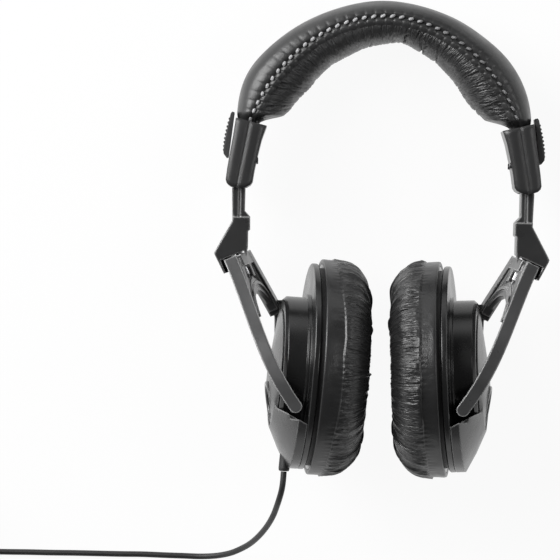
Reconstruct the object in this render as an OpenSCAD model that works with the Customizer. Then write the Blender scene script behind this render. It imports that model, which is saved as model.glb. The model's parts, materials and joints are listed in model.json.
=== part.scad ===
// Over-ear studio headphones lying on a flat surface: a padded leatherette headband, two sleeves
// that guide sliding arms, swivelling forks and tilting round ear cups, with a thin cord on one cup.
// Everything but the cord is drawn upright about the middle of the ear cups and then laid down:
// x runs to the right, y runs from the cups to the crown, z runs from the far side to the near side.

/* [Headband] */
// Height of the ellipse's centre above the middle of the ear cups
band_centre_y = 105; // [103:0.5:107]
// Half width of the headband's outer curve
band_half_w = 63.3; // [62.5:0.1:64]
// Rise of the headband's outer curve above its centre
band_rise = 52; // [48:1:56]
// Half depth of the padded headband
band_half_d = 19; // [17:0.5:20]

/* [Ear cup] */
// Diameter of the ear pad
pad_d = 92; // [89:0.5:93]
// Thickness of the ear pad
pad_t = 18.6; // [18:0.2:21]
// Diameter of the cup's flange
flange_d = 88.8; // [87:0.2:89]
// Diameter of the driver housing behind the flange
housing_d = 59; // [57:0.2:59]
// Distance of the flange's outer face from the symmetry plane
cup_x = 32.3; // [31.8:0.1:32.8]
// Turn of each cup that brings its upper edge inwards
cup_roll = 2.9; // [2:0.1:3.5]
// Turn of each cup that brings its near edge inwards
cup_yaw = 5; // [4:0.5:5.5]

/* [Fork] */
// Thickness of the fork's arms
fork_t = 5.6; // [5:0.1:6]
// Lean of the fork's near arm from the vertical
fork_lean = 24.2; // [24:0.1:24.4]
// Turn of the fork's web that brings its far edge inwards
web_yaw = 10; // [8:0.5:11]
// Radius of the pivot pins
pin_r = 1.6; // [1.4:0.1:1.8]
// Radial running clearance of every pin
pin_play = 0.05; // [0.02:0.01:0.08]

/* [Slider] */
// Thickness of the visible part of the sliding arm
arm_t = 5.6; // [5.2:0.1:5.8]
// Depth of the sliding arm
arm_d = 20; // [18:0.5:21]
// Lean of the sliding direction, outwards on the way down
slide_lean = 4; // [3:0.5:5]

/* [Cord] */
// Diameter of the cord
cord_d = 2.6; // [2.4:0.1:2.8]

/* [Hidden] */
$fn = 48;

// The headphones lie on the rims of both pads and on the lower edge of the headband.
lying_tilt = 10.6;
lying_shift_y = -54.5;
lying_height = pad_d / 2 + 0.86;

// ---------- colours ----------
satin_black = [0.10, 0.10, 0.10];
dark_grey = [0.20, 0.20, 0.20];
leather_black = [0.07, 0.07, 0.07];
steel = [0.66, 0.67, 0.68];

// ---------- placing ----------
module lying() {
    translate([0, lying_shift_y, lying_height]) rotate([-lying_tilt, 0, 0]) children();
}

// side is 1 on the right and -1 on the left
module on_side(side) {
    lying() mirror([side < 0 ? 1 : 0, 0, 0]) children();
}

// The cup's own frame: x outwards from the flange's outer face, y up, z to the near side
module in_cup() {
    translate([cup_x, 0, 0]) rotate([0, -cup_yaw, 0]) rotate([0, 0, cup_roll]) children();
}

// A shape drawn round the z axis is turned to run round the cup's axis
module round_cup_axis() {
    rotate([0, 90, 0]) children();
}

// ---------- curves ----------
function bezier(a, b, c, d, steps) = [for (i = [0 : steps])
    let (t = i / steps, s = 1 - t)
    s * s * s * a + 3 * s * s * t * b + 3 * s * t * t * c + t * t * t * d];

// Corner points of a rectangle with arcs at its corners, centred on the origin
function rounded_box(w, h, r, steps = 6) = [for (corner = [0 : 3])
    let (cx = (corner == 0 || corner == 3) ? w / 2 - r : r - w / 2, cy = corner < 2 ? h / 2 - r : r - h / 2)
    for (i = [0 : steps])
        let (a = corner * 90 + i * 90 / steps) [cx + r * cos(a), cy + r * sin(a)]];

// Closed solid through a list of rings that all have the same number of points.
// Each end is closed by a fan of triangles from the ring's eighth point.
module loft(rings) {
    n = len(rings[0]);
    last = (len(rings) - 1) * n;
    points = [for (ring = rings) for (p = ring) p];
    sides = [for (k = [0 : len(rings) - 2]) for (i = [0 : n - 1])
        let (a = k * n + i, b = k * n + (i + 1) % n)
        each [[a, b, b + n], [a, b + n, a + n]]];
    first_cap = [for (i = [1 : n - 2]) [7 % n, (7 + i + 1) % n, (7 + i) % n]];
    last_cap = [for (i = [1 : n - 2]) [last + 7 % n, last + (7 + i) % n, last + (7 + i + 1) % n]];
    polyhedron(points, concat(first_cap, sides, last_cap), convexity = 6);
}

// ---------- headband ----------
// Distances from the ellipse's centre at the angle a above the horizontal
function ease(t) = let (c = max(0, min(1, t))) c * c * (3 - 2 * c);
function outer_r(a) = 1 / sqrt(pow(cos(a) / band_half_w, 2) + pow(sin(a) / band_rise, 2));
function seam_r(a) = 45.6 + (band_half_w - 51.4) * pow(min(1, abs(90 - a) / 90), 2.7);
function inner_r(a) = 34.2 + 15.5 * exp(-(90 - abs(90 - a) + 2) / 10);
// Pinch of the band's ends, which go into the sleeves: 0 above the sleeve, 1 inside it
function pinch(a) = 1 - ease((90 - abs(90 - a) + 1.5) / 5);
function cover_r(a) = outer_r(a) - 0.6 * pinch(a);
// The cover's underside leaves room for the top of the sliding arm near its ends
pocket_d = arm_d / 2 + 1.2;
function pocket_r(a) = let (e = 90 - abs(90 - a), s = seam_r(a) + 0.05)
    s + (band_half_w - 1.7 - s) * (1 - ease((e - 9.4) / 3));
function pad_r(a) = inner_r(a) + (54 - inner_r(a)) * pinch(a);
function depth_at(a) = band_half_d - (band_half_d - 14.5) * pinch(a) - 1.2 * (1 - ease(min(a, 180 - a) / 30));

function on_band(a, r, z) = [r * cos(a), band_centre_y + r * sin(a), z];
function bulge(z, half, power) = pow(max(0, 1 - pow(abs(z) / half, power)), 1 / power);

// Ring of the leather cover: a flat underside at the seam and a rounded top
function cover_ring(a) = let (b = depth_at(a), s = seam_r(a) + 0.05, h = cover_r(a) - s) concat(
    [for (i = [0 : 14]) let (z = b * cos(180 * i / 14)) on_band(a, s + 1.2 + (h - 1.2) * bulge(z, b, 2.4), z)],
    [on_band(a, s, -b * 0.96), on_band(a, s, -pocket_d - 1), on_band(a, pocket_r(a), -pocket_d),
    on_band(a, pocket_r(a), pocket_d), on_band(a, s, pocket_d + 1), on_band(a, s, b * 0.96)]);
// Ring of the head pad: a flat top at the seam and a rounded underside
function pad_ring(a) = let (b = depth_at(a) - 0.4, s = seam_r(a) - 1.1 - 0.5 * pinch(a), h = s - pad_r(a)) concat(
    [for (i = [0 : 14]) let (z = -b * cos(180 * i / 14)) on_band(a, s - 1.2 - (h - 1.2) * bulge(z, b, 2.2), z)],
    [on_band(a, s, b * 0.96), on_band(a, s, -b * 0.96)]);

band_end_angle = -4.5;
band_steps = 40;
function band_angles() = [for (i = [0 : band_steps])
    band_end_angle + (180 - 2 * band_end_angle) * i / band_steps];

// The steel strip runs between the cover and the pad and down inside both sleeves
spring_t = 0.8;
spring_d = 22;
function spring_r(a) = seam_r(a) - 0.5;
// Distance of the strip's straight end from the symmetry plane at the height y inside the sleeve
spring_foot_y = 83;
spring_foot_x = 57.9;
function spring_line(shift) = concat(
    [[spring_foot_x + shift, spring_foot_y]],
    [for (i = [0 : 36]) let (a = -4 + 188 * i / 36, r = spring_r(a) + shift)
        [r * cos(a), band_centre_y + r * sin(a)]],
    [[-spring_foot_x - shift, spring_foot_y]]);
function reversed(list) = [for (i = [len(list) - 1 : -1 : 0]) list[i]];

module band_spring() {
    color(steel) lying() difference() {
        linear_extrude(spring_d, center = true)
            polygon(concat(spring_line(spring_t / 2), reversed(spring_line(-spring_t / 2))));
        for (side = [-1, 1], z = [-6, 6])
            translate([side * rivet_x, rivet_y, z]) rotate([0, 90, 0]) cylinder(r = 1.05, h = 8, center = true);
    }
}

rivet_y = 89;
rivet_x = 57.57;
module spring_rivets() {
    color(steel) lying() for (side = [-1, 1], z = [-6, 6])
        translate([side * rivet_x, rivet_y, z]) rotate([0, side * 90, 0]) {
            translate([0, 0, -0.9]) cylinder(r = 1, h = 1.6);
            translate([0, 0, -1.05]) cylinder(r = 1.7, h = 0.5);
        }
}

module top_cover() {
    color(leather_black) lying() loft([for (a = band_angles()) cover_ring(a)]);
}

module head_pad() {
    color(leather_black) lying() loft([for (a = band_angles()) pad_ring(a)]);
}

// ---------- sleeve ----------
// Side outline of the sleeve, slightly curved, with a rounded lower end
sleeve_depth = 35;
sleeve_outer_edge = [[63.9, 106.0], [65.0, 98], [66.3, 90], [67.2, 84], [67.7, 79.4]];
sleeve_inner_edge = [[56.2, 78.6], [55.4, 84], [54.2, 90], [52.6, 97], [50.6, 102.8]];
sleeve_foot = bezier([67.7, 79.4], [67.9, 75.2], [57.4, 74.6], [56.2, 78.6], 8);
sleeve_wall = 1.5;
sleeve_lean = 10.4;

module sleeve_outline() {
    polygon(concat(sleeve_outer_edge, sleeve_foot, sleeve_inner_edge));
}

module sleeve_body() {
    intersection() {
        linear_extrude(sleeve_depth + 2, center = true) sleeve_outline();
        translate([60, 92, 0]) rotate([0, 0, sleeve_lean]) translate([0, -25, 0]) rotate([-90, 0, 0])
            linear_extrude(50) polygon(rounded_box(17.5, sleeve_depth, 5));
    }
}

// The cavity follows the outline inside the walls and opens at the top
cavity_outline = [
    [63.2, 107], [63.6, 98], [64.7, 90], [65.5, 84], [65.9, 80.6],
    [58.0, 80.6], [57.1, 84], [55.8, 90], [54.2, 97], [52.3, 104.5]
];
module sleeve_cavity() {
    linear_extrude(sleeve_depth - 2 * sleeve_wall - 2.4, center = true) polygon(cavity_outline);
    // Mouth for the arm at the lower end
    arm_frame() translate([-arm_t / 2 - 0.7, -34, -arm_d / 2 - 0.5]) cube([arm_t + 1.8, 14, arm_d + 1]);
}

// Plane that parts the two halves of the sleeve, along its length
module outer_of_parting(gap) {
    translate([60.2, 92, 0]) rotate([0, 0, sleeve_lean]) translate([gap / 2, -40, -30]) cube([30, 80, 60]);
}

screw_spots = [[-13, 88], [13, 88]];
module sleeve_screw_holes(r) {
    for (spot = screw_spots)
        translate([52, spot[1], spot[0]]) rotate([0, 90, 0]) cylinder(r = r, h = 6.4);
}

module sleeve_outer() {
    color(satin_black) difference() {
        intersection() {
            sleeve_body();
            outer_of_parting(0);
        }
        sleeve_cavity();
    }
}

module sleeve_inner() {
    color(satin_black) difference() {
        sleeve_body();
        outer_of_parting(-0.12);
        sleeve_cavity();
        sleeve_screw_holes(1.3);
    }
}

// Each screw head sits in the sleeve's inner wall
module sleeve_screws() {
    color(steel) for (spot = screw_spots)
        translate([54.0, spot[1], spot[0]]) rotate([0, 90, 0]) cylinder(r = 1.25, h = 3.6);
}

// Ribbed cover on the outside of the sleeve
grip_line = [[66.2, 107.8], [68.0, 99], [69.0, 92.5], [68.9, 90.6]];
module grip_cover() {
    rib_count = 9;
    color(dark_grey) difference() {
        union() {
            intersection() {
                linear_extrude(24, center = true) polygon(concat(
                    [[64.6, 108.4], [65.6, 108.6]], grip_line, [[67.6, 88.9], [66.8, 89.2]]));
                translate([66, 98, 0]) rotate([0, 0, 9]) translate([0, -13, 0]) rotate([-90, 0, 0])
                    linear_extrude(26) polygon(rounded_box(7, 24, 2));
            }
            for (i = [0 : rib_count - 1]) let (t = i / (rib_count - 1))
                translate([66.55 + 2.15 * sin(90 * t), 105.6 - 13.4 * t, 0]) rotate([0, 0, -98])
                    cylinder(r = 0.55, h = 19, center = true, $fn = 20);
        }
        // The underside follows the sleeve
        linear_extrude(60, center = true) polygon(concat(
            [[50, 120], [62.9, 113.2]], [for (p = sleeve_outer_edge) [p[0] + 0.02, p[1]]], [[50, 79]]));
    }
}

// Leaf spring that clicks into the arm's notches
module detent_spring() {
    color(steel) linear_extrude(5, center = true) polygon([
        [64.4, 91.2], [64.3, 92.4], [63.9, 92.6], [62.4, 95.8], [63.1, 99.2], [62.7, 99.4], [62.0, 95.8],
        [63.4, 92.2], [63.6, 91.2]]);
}

// ---------- sliding arm ----------
// The arm's own frame: the origin is on its middle at the sleeve's top, y up along the slide
arm_top = [59.9, 106, 0];
module arm_frame() {
    translate(arm_top) rotate([0, 0, slide_lean]) children();
}

arm_outline = [
    [64.95, 76], [64.5, 61.9], [71.4, 49.2], [72.0, 47.8], [71.7, 46.9], [67.6, 39.0], [66.2, 39.6],
    [63.0, 41.0], [60.2, 42.6], [58.5, 43.3], [57.6, 50.5], [57.6, 57.6], [56.8, 58.2], [56.9, 63.8],
    [59.2, 66.2], [59.2, 76]
];
bracket_depth = 24;
gusset_y = 63.5;
slot_room = 1.3;
slot_top = 0.6;

module slider_arm() {
    color(satin_black) difference() {
        union() {
            // Thin strip that slides in the sleeve
            arm_frame() translate([-1, -30, -arm_d / 2]) cube([2, 26, arm_d]);
            arm_frame() translate([-arm_t / 2 + 0.1, -32, -arm_d / 2]) cube([arm_t - 0.1, 6, arm_d]);
            linear_extrude(arm_d, center = true) polygon(arm_outline);
            intersection() {
                linear_extrude(bracket_depth, center = true) polygon(arm_outline);
                translate([40, 0, -30]) cube([50, gusset_y, 60]);
            }
        }
        // Room for the fork's upper end
        near_plane(fork_t + 2 * slot_room) translate([-50, slot_top - 60]) square([52, 60]);
        web_plane(fork_t + 2 * slot_room) translate([-50, slot_top - 60]) square([100, 60]);
        swivel_axis() translate([0, 0, -1]) cylinder(r = pin_r, h = 9);
        // Grooves along both edges of the arm, and the notches of the detent
        for (z = [-1, 1]) translate([61.6, 56, z * (arm_d / 2)]) cube([0.7, 60, 1.0], center = true);
        for (i = [0 : 6]) arm_frame() translate([1, -5.5 - 3 * i, 0]) cylinder(r = 0.45, h = 6, center = true);
    }
}

// ---------- fork ----------
// Both planes start at the fork's upper end: x to the far side, y up along the fork
fork_top = [64, 46.3, 0];
near_top = [65.2, 45.8, 0];
fork_half_top = 12.5;
web_pivot = 18.5;
module near_frame() {
    translate(near_top) rotate([0, 0, -fork_lean]) children();
}
module near_plane(t) {
    near_frame() rotate([0, 90, 0]) linear_extrude(t, center = true) children();
}
module web_frame() {
    translate(fork_top) rotate([0, 0, -fork_lean]) translate([0, 0, web_pivot])
        rotate([0, web_yaw, 0]) translate([0, 0, -web_pivot]) children();
}
module web_plane(t) {
    web_frame() rotate([0, 90, 0]) linear_extrude(t, center = true) children();
}

// The swivel's axis: z points up along the fork from its upper end
module swivel_axis() {
    web_frame() rotate([-90, 0, 0]) children();
}

// Outer edge of one side of the fork, from its upper end to the pivot
fork_len = 71;
fork_edge = bezier([fork_half_top, 0], [26, -24], [37, -34], [39, -58], 10);
gap_edge = bezier([0, -17.6], [15, -17.6], [27, -28], [31, -40], 8);
rib_edge = bezier([0, -13.4], [12, -13.4], [19, -19], [22.5, -27], 8);

function flipped(list) = [for (i = [len(list) - 1 : -1 : 0]) [-list[i][0], list[i][1]]];
function above(list, limit) = [for (p = list) if (p[1] > limit) p];

// Panel between the rails, from just below the fork's upper end to the arch. On the near side it runs
// on along the rail until it meets the rail's inner edge.
far_edge = [for (p = above(fork_edge, -31)) p - [1.6, 0.6]];
near_edge = [for (p = above(fork_edge, -44)) p - [1.6, 0.6]];
module web_panel() {
    polygon(concat(far_edge, reversed(above(gap_edge, -32)), reversed(flipped(gap_edge)),
        flipped(near_edge)));
}
// Rail of one side of the fork, along its outer edge
module rail(edge, tail) {
    polygon(concat(edge, tail, [for (i = [len(edge) - 1 : -1 : 0]) edge[i] - [5.4, 1.2]]));
}
module near_rail() {
    rail(fork_edge, [[39, -fork_len - 2.8], [33.4, -fork_len - 2.8]]);
}
module far_rail() {
    rail(above(fork_edge, -31), []);
}

// The near arm seen from the near side, x outwards and y up: it bows outwards on its way to the pivot
near_pin = [-1.3, -69.2];
near_line = bezier([0, 1], [-0.6, -24], [4.4, -44], near_pin, 12);
module near_bow() {
    w = [fork_t / 2, 0];
    union() {
        polygon(concat([for (p = near_line) p + w], [for (i = [len(near_line) - 1 : -1 : 0]) near_line[i] - w]));
        translate(near_pin) circle(r = fork_t / 2);
    }
}
module near_arm() {
    intersection() {
        near_plane(20) mirror([1, 0]) near_rail();
        near_frame() linear_extrude(100, center = true) near_bow();
    }
}

// Long tapering hollows between the middle rib and the rails, on both faces of the panel
web_floor = 0.8;
module web_hollows() {
    web_frame() rotate([0, 90, 0]) for (m = [0, 1], x = [web_floor / 2, -6 - web_floor / 2])
        translate([0, 0, x]) linear_extrude(6) mirror([m, 0])
            polygon([[1.3, -6.2], [8.6, -6.2], [17.4, -19.6], [11.5, -14.8], [5.5, -12.2], [1.3, -11.6]]);
}
// Raised arch across the web
module web_rib() {
    polygon(concat(reversed(rib_edge), [for (i = [1 : len(rib_edge) - 1]) [-rib_edge[i][0], rib_edge[i][1]]],
        [for (i = [len(rib_edge) - 1 : -1 : 1]) [-rib_edge[i][0] + 0.4, rib_edge[i][1] - 1.3]],
        [for (p = rib_edge) p - [p[0] > 0 ? 0.4 : 0, 1.3]]));
}

// Lower part of the far arm, straight down to the far pivot
far_lean = -1.4;
far_line = bezier([29.4, 45], [34, 32], [38, 22], [39, 6], 8);
module far_arm() {
    far_x = cup_x + pin_spot[0] + 0.95 + sin(cup_yaw) * 36;
    translate([far_x, pin_world_y, 0]) rotate([0, 0, far_lean]) rotate([0, 90, 0])
        linear_extrude(fork_t, center = true) polygon(concat(far_line, [[39, -2.8], [33, -2.8], [33, 2]],
            [for (i = [len(far_line) - 1 : -1 : 0]) far_line[i] - [6, 0]]));
}

module fork() {
    color(dark_grey) difference() {
        union() {
            near_arm();
            web_plane(fork_t - 0.1) far_rail();
            // Block round the swivel pin
            web_plane(fork_t - 0.3) translate([-fork_half_top + 1, -5.4]) square([2 * fork_half_top - 2, 5.2]);
            web_plane(fork_t - 0.5) translate([-1.9, -11]) square([3.8, 7]);
            web_plane(2.6) web_panel();
            web_plane(4.2) web_rib();
            far_arm();
        }
        web_hollows();
        swivel_axis() translate([0, 0, -9.5]) cylinder(r = pin_r + pin_play, h = 12);
        in_cup() pin_line() cylinder(r = pin_r + pin_play, h = 2 * pin_end + 0.4, center = true);
    }
}

module swivel_pin() {
    color(steel) swivel_axis() translate([0, 0, -9.4]) cylinder(r = pin_r, h = 17.2);
}

// ---------- ear cup ----------
// Middle of the pivot axis in the cup's frame
pin_spot = [5.45, -17.2];
pin_world_y = -16.9;
pin_end = 37.2;
module pin_line() {
    translate([pin_spot[0], pin_spot[1], 0]) children();
}

module pivot_pins() {
    color(steel) in_cup() pin_line() for (z = [-1, 1])
        rotate([z < 0 ? 180 : 0, 0, 0]) translate([0, 0, 28.2]) cylinder(r = pin_r, h = pin_end - 28.2);
}

flange_t = 2.8;
housing_h = 11.2;
housing_wall = 1.8;
boss_z = 32.3;

// Flange, housing wall and closed outer end in one turned section, drawn as radius and height
module cup_housing() {
    r = housing_d / 2;
    f = flange_d / 2;
    color(satin_black) in_cup() difference() {
        union() {
            round_cup_axis() rotate_extrude($fn = 96) polygon([
                [31.5, -flange_t], [f - 0.5, -flange_t], [f, -flange_t + 0.5], [f, -0.5], [f - 0.5, 0],
                [r + 1.5, 0], [r + 1.5, 1.2], [r, 1.2], [r, housing_h - 1.4], [r - 1.4, housing_h],
                [8, housing_h], [8, housing_h - housing_wall], [r - housing_wall, housing_h - housing_wall],
                [r - housing_wall, 0]]);
            // Bosses that hold the pivot pins
            pin_line() for (z = [-1, 1]) rotate([z < 0 ? 180 : 0, 0, 0]) translate([0, 0, 20])
                cylinder(r = 4, h = boss_z - 20);
        }
        round_cup_axis() translate([0, 0, -10]) cylinder(r = r - housing_wall - 0.01, h = 10 + housing_h - housing_wall);
        pin_line() for (z = [-1, 1]) rotate([z < 0 ? 180 : 0, 0, 0]) translate([0, 0, 19])
            cylinder(r = pin_r, h = 20);
        for (a = screw_angles) rotate([a, 0, 0]) translate([housing_h - 3, 0, screw_at]) rotate([0, 90, 0])
            cylinder(r = 1.3, h = 6);
        // Pocket behind the port
        port_frame() translate([0, 0, -2]) cylinder(r = 8.5, h = 10);
    }
}

// Circle of radius r round the point (0, y) at the height x, as a thin plate
module plate_at(x, r, y, t = 0.4, fn = 40) {
    translate([x, y, 0]) rotate([0, 90, 0]) cylinder(r = r, h = t, $fn = fn);
}
// The part of a plate below the height top
module low_plate(x, r, t, top) {
    intersection() {
        plate_at(x, r, 0, t, 56);
        translate([-50, -100, -60]) cube([100, 100 + top, 120]);
    }
}

chin_top = -21.2;
module dome_form(s) {
    hull() {
        plate_at(housing_h, 24.6 - s, -1, 0.6);
        plate_at(12.8 - s * 0.6, 18.6 - s, -8, 0.3);
        plate_at(14.7 - s, 8 - s * 0.3, -8.6, 0.4);
    }
}
module chin_form(s) {
    hull() {
        low_plate(0, flange_d / 2 - s, 4 - s * 0.5, chin_top);
        low_plate(8.2 - s, 36.6 - s, 0.4, chin_top + 2);
        plate_at(12.8 - s * 0.8, 18.0 - s, -9.4, 0.3, 32);
    }
}

// Outer cover: a low dome over the housing's end and a chin that reaches down to the flange
cover_wall = 1.8;
module cup_cover(corded) {
    r = housing_d / 2;
    color(satin_black) in_cup() difference() {
        union() {
            dome_form(0);
            difference() {
                chin_form(0);
                // Slanted upper edges of the chin on both sides
                for (z = [-1, 1]) scale([1, 1, z]) translate([5, chin_top - 0.8, 17]) rotate([0, 0, 26])
                    translate([-30, 0, 0]) cube([60, 60, 40]);
            }
        }
        intersection() {
            union() {
                dome_form(cover_wall);
                chin_form(cover_wall);
            }
            translate([housing_h + 0.05, -60, -60]) cube([40, 120, 120]);
        }
        intersection() {
            chin_form(cover_wall);
            translate([0.6, -60, -60]) cube([40, 60 - 32, 120]);
        }
        round_cup_axis() rotate_extrude($fn = 96) polygon([
            [0, -1], [r + 1.7, -1], [r + 1.7, 1.5], [r + 0.15, 1.5], [r + 0.15, housing_h - 1.25],
            [r - 1.25, housing_h + 0.1], [0, housing_h + 0.1]]);
        translate([-1, -60, -60]) cube([1.05, 120, 120]);
        // Room round the ends of the fork
        for (z = [-1, 1]) scale([1, 1, z]) pin_line() translate([0, 0, 31.5]) {
            cylinder(r = 5.6, h = 20);
            rotate([0, 0, -8]) translate([-5.6, 0, 0]) cube([15, 40, 20]);
        }
        port_frame() translate([0, 0, -3]) cylinder(r = 8.4, h = 10);
        port_frame() translate([0, 0, -0.21]) cylinder(r = 9.75, h = 10);
        // Room round the pivot bosses and over the screws
        pin_line() cylinder(r = 4.1, h = 2 * boss_z + 0.2, center = true);
        for (a = screw_angles) rotate([a, 0, 0]) translate([housing_h - 3, 0, screw_at]) rotate([0, 90, 0])
            cylinder(r = 1.3, h = 3.9);
        if (corded) cord_gland() translate([0, 0, 0.1]) cylinder(r = 2.45, h = 20);
    }
}

// Round port on the outer face, bare
port_tilt = 12;
module port_frame() {
    translate([13.4, -17.0, 0]) rotate([0, 0, -port_tilt]) rotate([0, 90, 0]) children();
}
module port_ring() {
    color(dark_grey) in_cup() port_frame() rotate_extrude($fn = 64) polygon([
        [7.4, -1.6], [8.35, -1.6], [8.35, -0.2], [9.7, -0.2], [9.7, 0.5], [9.2, 1.0], [8.0, 1.0], [7.4, 0.3]]);
}
module port_disc() {
    color(satin_black) in_cup() port_frame() difference() {
        translate([0, 0, -1.6]) cylinder(r = 7.36, h = 1.1);
        for (i = [-1 : 1]) translate([i * 2.4, 0, -3]) linear_extrude(4) polygon(rounded_box(0.9, 8, 0.4));
    }
}

screw_angles = [60, 180, 300];
screw_at = 17;
module cover_screws() {
    color(steel) in_cup() for (a = screw_angles) rotate([a, 0, 0]) translate([housing_h - 3.2, 0, screw_at])
        rotate([0, 90, 0]) {
            cylinder(r = 1.2, h = 4);
            translate([0, 0, -0.2]) cylinder(r = 2.1, h = 1.2);
        }
}

// ---------- inside the cup ----------
baffle_x = -4.7;
baffle_t = 1.8;
module baffle() {
    color(satin_black) in_cup() round_cup_axis() difference() {
        translate([0, 0, baffle_x]) cylinder(r = 42.6, h = baffle_t, $fn = 72);
        for (i = [0 : 5]) rotate([0, 0, 60 * i]) translate([11.5, 0, -9]) cylinder(r = 2.6, h = 10);
        for (i = [0 : 11]) rotate([0, 0, 30 * i + 15]) translate([26.5, 0, -9]) cylinder(r = 1.5, h = 10, $fn = 24);
        translate([0, 0, -9]) cylinder(r = 4, h = 10);
    }
}

module driver_frame() {
    color(dark_grey) in_cup() round_cup_axis() rotate_extrude($fn = 72) polygon([
        [20, -2.85], [20, -1.6], [16.5, -0.2], [11.4, 1.4], [11.4, 2.4], [9.4, 2.4], [9.4, 0.6],
        [15.4, -1.4], [18.6, -2.0], [18.6, -2.85]]);
}
module magnet() {
    color(steel) in_cup() round_cup_axis() difference() {
        translate([0, 0, 2.45]) cylinder(r = 11, h = 4.6);
        translate([0, 0, 2]) cylinder(r = 1.6, h = 8);
    }
}
module diaphragm() {
    color([0.5, 0.5, 0.46]) in_cup() round_cup_axis() rotate_extrude($fn = 72) polygon([
        [0, 0.1], [4.5, -0.35], [8.4, -1.6], [9.2, -2.0], [13.5, -1.55], [18.2, -2.5], [18.2, -2.7],
        [13.5, -1.75], [9.2, -2.25], [8.2, -1.8], [4.4, -0.55], [0, -0.1]]);
}
module damping_felt() {
    color([0.75, 0.75, 0.72]) in_cup() round_cup_axis() difference() {
        translate([0, 0, 7.1]) cylinder(r = 14.5, h = 1.6);
        translate([0, 0, 7]) cylinder(r = 3, h = 2);
    }
}

plate_x = -6.2;
module pad_plate() {
    color(satin_black) in_cup() round_cup_axis() rotate_extrude($fn = 96) polygon([
        [30, plate_x], [45.7, plate_x], [46.2, plate_x + 0.4], [46.2, plate_x + 1.1],
        [45.8, plate_x + 1.4], [30, plate_x + 1.4]]);
}
module pad_cloth() {
    color([0.05, 0.05, 0.05]) in_cup() round_cup_axis() translate([0, 0, plate_x - 0.6])
        cylinder(r = 29.6, h = 0.8, $fn = 64);
}

// Cushion: a ring with a full, rounded section
pad_hole_r = 21;
module ear_pad() {
    outer = pad_d / 2;
    face = plate_x - pad_t;
    color(leather_black) in_cup() round_cup_axis() rotate_extrude($fn = 96) polygon(concat(
        [[30, plate_x - 0.02], [outer - 0.6, plate_x - 0.02], [outer, plate_x - 1]],
        bezier([outer, plate_x - 6.8], [outer - 0.4, face + 8.5], [outer - 5.5, face + 1], [outer - 13, face], 12),
        bezier([pad_hole_r + 8, face], [pad_hole_r + 1.4, face + 1.2], [pad_hole_r - 0.6, face + 6],
            [pad_hole_r + 2, plate_x - 4.6], 8),
        [[pad_hole_r + 9, plate_x - 1.4]]));
}

// ---------- cord ----------
module cord_gland() {
    translate([5.4, -37, 0]) rotate([90, 0, 0]) children();
}
gland_len = 8.8;
module strain_relief() {
    color(satin_black) in_cup() cord_gland() rotate_extrude() polygon([
        [0, 0.2], [2.2, 0.2], [2.4, gland_len - 1.4], [2.3, gland_len - 0.4], [1.9, gland_len], [0, gland_len]]);
}

// Closed tube of radius r along a line of points, with eight sides
function unit(v) = v / norm(v);
function way(line, i) = unit(line[min(i + 1, len(line) - 1)] - line[max(i - 1, 0)]);
function tube_ring(p, dir, r) = let (u = unit(cross(dir, [0.03, 0.02, 1])), v = cross(u, dir))
    [for (k = [0 : 7]) p + r * (cos(45 * k + 22.5) * u + sin(45 * k + 22.5) * v)];
module tube(line, r) {
    loft([for (i = [0 : len(line) - 1]) tube_ring(line[i], way(line, i), r)]);
}

// From the strain relief the cord drops to the surface and runs off to the left
cord_route = [
    [-39.99, -99.27, 55.86], [-40.2, -103.2, 56.6], [-40.7, -107.2, 56.6], [-41.6, -111.3, 54.9],
    [-42.7, -115.8, 51.2], [-44.0, -120.7, 45.9], [-45.9, -125.8, 39.9], [-48.2, -130.6, 33.6],
    [-51.0, -135.3, 27.1], [-54.2, -139.5, 20.8], [-58.0, -143.1, 15.0], [-62.4, -146.2, 9.9],
    [-67.3, -148.3, 5.8], [-71.9, -149.4, 3.3], [-76.8, -149.9, 1.9], [-83.1, -149.9, 1.4],
    [-91, -149.8, 1.4], [-101, -149.6, 1.4], [-111, -149.7, 1.4], [-121, -149.7, 1.4],
    [-131, -149.7, 1.4], [-141, -149.8, 1.4], [-151, -149.8, 1.4], [-161, -149.9, 1.4],
    [-172, -149.9, 1.4], [-182, -149.9, 1.6], [-190, -149.9, 1.9]
];
// From the coil the cord comes down to the back of the plug
tail_route = [
    [-216.7, -122.6, 9.3], [-216.7, -117.6, 7.9], [-216.6, -112.6, 6.1], [-216.4, -106.6, 4.6],
    [-216.2, -100.6, 4.1], [-216, -95.65, 4]
];
module cord() {
    color(satin_black) {
        tube(cord_route, cord_d / 2);
        tube(tail_route, cord_d / 2);
    }
}

// Round coil of five turns side by side in each of four layers
coil_centre = [-197, -130.2, 0.6];
coil_mean_r = 14.5;
coil_columns = 5;
coil_layers = 4;
module cord_coil() {
    w = coil_columns * cord_d;
    h = coil_layers * cord_d;
    color(satin_black) translate(coil_centre) rotate_extrude($fn = 64)
        translate([coil_mean_r, h / 2]) polygon(rounded_box(w, h, 1.2, 3));
}
// Strap round the turns on the far side of the coil
tie_angle = 55;
tie_w = 6;
tie_t = 0.55;
module cord_tie() {
    w = coil_columns * cord_d + 0.1;
    h = coil_layers * cord_d + 0.1;
    color(dark_grey) translate(coil_centre) rotate([0, 0, tie_angle]) translate([coil_mean_r, 0, h / 2 - 0.05])
        rotate([90, 0, 0]) linear_extrude(tie_w, center = true) difference() {
            polygon(rounded_box(w + 2.2, h + 2 * tie_t - 0.05, 1.6, 3));
            polygon(rounded_box(w + 1.4, h, 1.2, 3));
        }
}

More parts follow.
